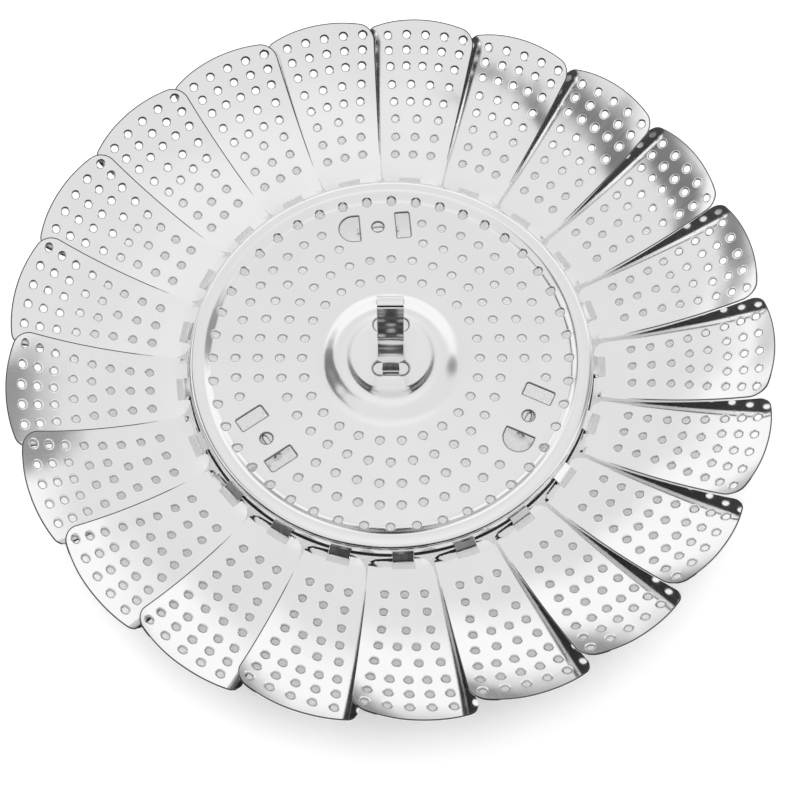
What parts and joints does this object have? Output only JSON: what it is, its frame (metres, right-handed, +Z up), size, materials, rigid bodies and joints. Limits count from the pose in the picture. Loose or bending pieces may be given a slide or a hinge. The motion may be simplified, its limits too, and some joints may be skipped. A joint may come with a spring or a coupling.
{
  "type": "folding steamer basket",
  "caption": "Open dish of hinged, overlapping leaves round a perforated plate on short folding legs, with a narrow arch handle in the middle; holds food above boiling water.",
  "frame": {"origin": "on the floor under the middle of the plate, level with the undersides of the feet", "axes": "+Z up through the middle of the plate, +Y to the far side of the picture, +X to its right"},
  "size_m": [0.2313, 0.2314, 0.0629],
  "materials": {
    "base_steel": "polished",
    "petal_steel": "polished",
    "handle_steel": "polished",
    "leg_steel": "polished"
  },
  "bodies": {
    "base": {"base_plate": "base_steel", "handle_loop": "handle_steel", "leg_pin_1": "leg_steel", "leg_pin_2": "leg_steel", "leg_pin_3": "leg_steel"},
    "petal_01": {"petal_01": "petal_steel"},
    "petal_02": {"petal_02": "petal_steel"},
    "petal_03": {"petal_03": "petal_steel"},
    "petal_04": {"petal_04": "petal_steel"},
    "petal_05": {"petal_05": "petal_steel"},
    "petal_06": {"petal_06": "petal_steel"},
    "petal_07": {"petal_07": "petal_steel"},
    "petal_08": {"petal_08": "petal_steel"},
    "petal_09": {"petal_09": "petal_steel"},
    "petal_10": {"petal_10": "petal_steel"},
    "petal_11": {"petal_11": "petal_steel"},
    "petal_12": {"petal_12": "petal_steel"},
    "petal_13": {"petal_13": "petal_steel"},
    "petal_14": {"petal_14": "petal_steel"},
    "petal_15": {"petal_15": "petal_steel"},
    "petal_16": {"petal_16": "petal_steel"},
    "petal_17": {"petal_17": "petal_steel"},
    "petal_18": {"petal_18": "petal_steel"},
    "petal_19": {"petal_19": "petal_steel"},
    "petal_20": {"petal_20": "petal_steel"},
    "petal_21": {"petal_21": "petal_steel"},
    "leg_1": {"leg_1": "leg_steel"},
    "leg_2": {"leg_2": "leg_steel"},
    "leg_3": {"leg_3": "leg_steel"}
  },
  "joints": [
    {"name": "petal_01_fold", "type": "hinge", "parent": "base", "child": "petal_01", "pos_m": [0.00576, 0.06324, 0.024], "axis": [0.9959, -0.0906, 0], "range_deg": [0, 80]},
    {"name": "petal_02_fold", "type": "hinge", "parent": "base", "child": "petal_02", "pos_m": [0.02414, 0.05873, 0.024], "axis": [0.9249, -0.3801, 0], "range_deg": [0, 80]},
    {"name": "petal_03_fold", "type": "hinge", "parent": "base", "child": "petal_03", "pos_m": [0.04038, 0.04901, 0.024], "axis": [0.7718, -0.6359, 0], "range_deg": [0, 80]},
    {"name": "petal_04_fold", "type": "hinge", "parent": "base", "child": "petal_04", "pos_m": [0.05303, 0.03493, 0.024], "axis": [0.5501, -0.8351, 0], "range_deg": [0, 80]},
    {"name": "petal_05_fold", "type": "hinge", "parent": "base", "child": "petal_05", "pos_m": [0.06097, 0.01775, 0.024], "axis": [0.2795, -0.9602, 0], "range_deg": [0, 80]},
    {"name": "petal_06_fold", "type": "hinge", "parent": "base", "child": "petal_06", "pos_m": [0.06349, -0.00101, 0.024], "axis": [-0.016, -0.9999, 0], "range_deg": [0, 80]},
    {"name": "petal_07_fold", "type": "hinge", "parent": "base", "child": "petal_07", "pos_m": [0.06037, -0.01968, 0.024], "axis": [-0.31, -0.9507, 0], "range_deg": [0, 80]},
    {"name": "petal_08_fold", "type": "hinge", "parent": "base", "child": "petal_08", "pos_m": [0.05189, -0.0366, 0.024], "axis": [-0.5764, -0.8171, 0], "range_deg": [0, 80]},
    {"name": "petal_09_fold", "type": "hinge", "parent": "base", "child": "petal_09", "pos_m": [0.03879, -0.05027, 0.024], "axis": [-0.7917, -0.6109, 0], "range_deg": [0, 80]},
    {"name": "petal_10_fold", "type": "hinge", "parent": "base", "child": "petal_10", "pos_m": [0.02225, -0.05947, 0.024], "axis": [-0.9366, -0.3504, 0], "range_deg": [0, 80]},
    {"name": "petal_11_fold", "type": "hinge", "parent": "base", "child": "petal_11", "pos_m": [0.00373, -0.06339, 0.024], "axis": [-0.9983, -0.0588, 0], "range_deg": [0, 80]},
    {"name": "petal_12_fold", "type": "hinge", "parent": "base", "child": "petal_12", "pos_m": [-0.01512, -0.06167, 0.024], "axis": [-0.9713, 0.238, 0], "range_deg": [0, 80]},
    {"name": "petal_13_fold", "type": "hinge", "parent": "base", "child": "petal_13", "pos_m": [-0.03262, -0.05448, 0.024], "axis": [-0.8579, 0.5138, 0], "range_deg": [0, 80]},
    {"name": "petal_14_fold", "type": "hinge", "parent": "base", "child": "petal_14", "pos_m": [-0.04723, -0.04244, 0.024], "axis": [-0.6684, 0.7438, 0], "range_deg": [0, 80]},
    {"name": "petal_15_fold", "type": "hinge", "parent": "base", "child": "petal_15", "pos_m": [-0.05764, -0.02664, 0.024], "axis": [-0.4195, 0.9078, 0], "range_deg": [0, 80]},
    {"name": "petal_16_fold", "type": "hinge", "parent": "base", "child": "petal_16", "pos_m": [-0.06293, -0.00846, 0.024], "axis": [-0.1332, 0.9911, 0], "range_deg": [0, 80]},
    {"name": "petal_17_fold", "type": "hinge", "parent": "base", "child": "petal_17", "pos_m": [-0.06263, 0.01046, 0.024], "axis": [0.1648, 0.9863, 0], "range_deg": [0, 80]},
    {"name": "petal_18_fold", "type": "hinge", "parent": "base", "child": "petal_18", "pos_m": [-0.05676, 0.02846, 0.024], "axis": [0.4482, 0.8939, 0], "range_deg": [0, 80]},
    {"name": "petal_19_fold", "type": "hinge", "parent": "base", "child": "petal_19", "pos_m": [-0.04585, 0.04393, 0.024], "axis": [0.6918, 0.7221, 0], "range_deg": [0, 80]},
    {"name": "petal_20_fold", "type": "hinge", "parent": "base", "child": "petal_20", "pos_m": [-0.03087, 0.05549, 0.024], "axis": [0.8739, 0.4861, 0], "range_deg": [0, 80]},
    {"name": "petal_21_fold", "type": "hinge", "parent": "base", "child": "petal_21", "pos_m": [-0.01314, 0.06213, 0.024], "axis": [0.9784, 0.2069, 0], "range_deg": [0, 80]},
    {"name": "leg_1_fold", "type": "hinge", "parent": "base", "child": "leg_1", "pos_m": [-0.00426, 0.0459, 0.0259], "axis": [-0.9957, -0.0924, 0], "range_deg": [0, 95]},
    {"name": "leg_2_fold", "type": "hinge", "parent": "base", "child": "leg_2", "pos_m": [0.04188, -0.01926, 0.0259], "axis": [0.4179, 0.9085, 0], "range_deg": [0, 95]},
    {"name": "leg_3_fold", "type": "hinge", "parent": "base", "child": "leg_3", "pos_m": [-0.03762, -0.02664, 0.0259], "axis": [0.5779, -0.8161, 0], "range_deg": [0, 95]}
  ],
  "couplings": [
    {"joint": "petal_02_fold", "follows": "petal_01_fold", "ratio": 1},
    {"joint": "petal_03_fold", "follows": "petal_01_fold", "ratio": 1},
    {"joint": "petal_04_fold", "follows": "petal_01_fold", "ratio": 1},
    {"joint": "petal_05_fold", "follows": "petal_01_fold", "ratio": 1},
    {"joint": "petal_06_fold", "follows": "petal_01_fold", "ratio": 1},
    {"joint": "petal_07_fold", "follows": "petal_01_fold", "ratio": 1},
    {"joint": "petal_08_fold", "follows": "petal_01_fold", "ratio": 1},
    {"joint": "petal_09_fold", "follows": "petal_01_fold", "ratio": 1},
    {"joint": "petal_10_fold", "follows": "petal_01_fold", "ratio": 1},
    {"joint": "petal_11_fold", "follows": "petal_01_fold", "ratio": 1},
    {"joint": "petal_12_fold", "follows": "petal_01_fold", "ratio": 1},
    {"joint": "petal_13_fold", "follows": "petal_01_fold", "ratio": 1},
    {"joint": "petal_14_fold", "follows": "petal_01_fold", "ratio": 1},
    {"joint": "petal_15_fold", "follows": "petal_01_fold", "ratio": 1},
    {"joint": "petal_16_fold", "follows": "petal_01_fold", "ratio": 1},
    {"joint": "petal_17_fold", "follows": "petal_01_fold", "ratio": 1},
    {"joint": "petal_18_fold", "follows": "petal_01_fold", "ratio": 1},
    {"joint": "petal_19_fold", "follows": "petal_01_fold", "ratio": 1},
    {"joint": "petal_20_fold", "follows": "petal_01_fold", "ratio": 1},
    {"joint": "petal_21_fold", "follows": "petal_01_fold", "ratio": 1}
  ]
}
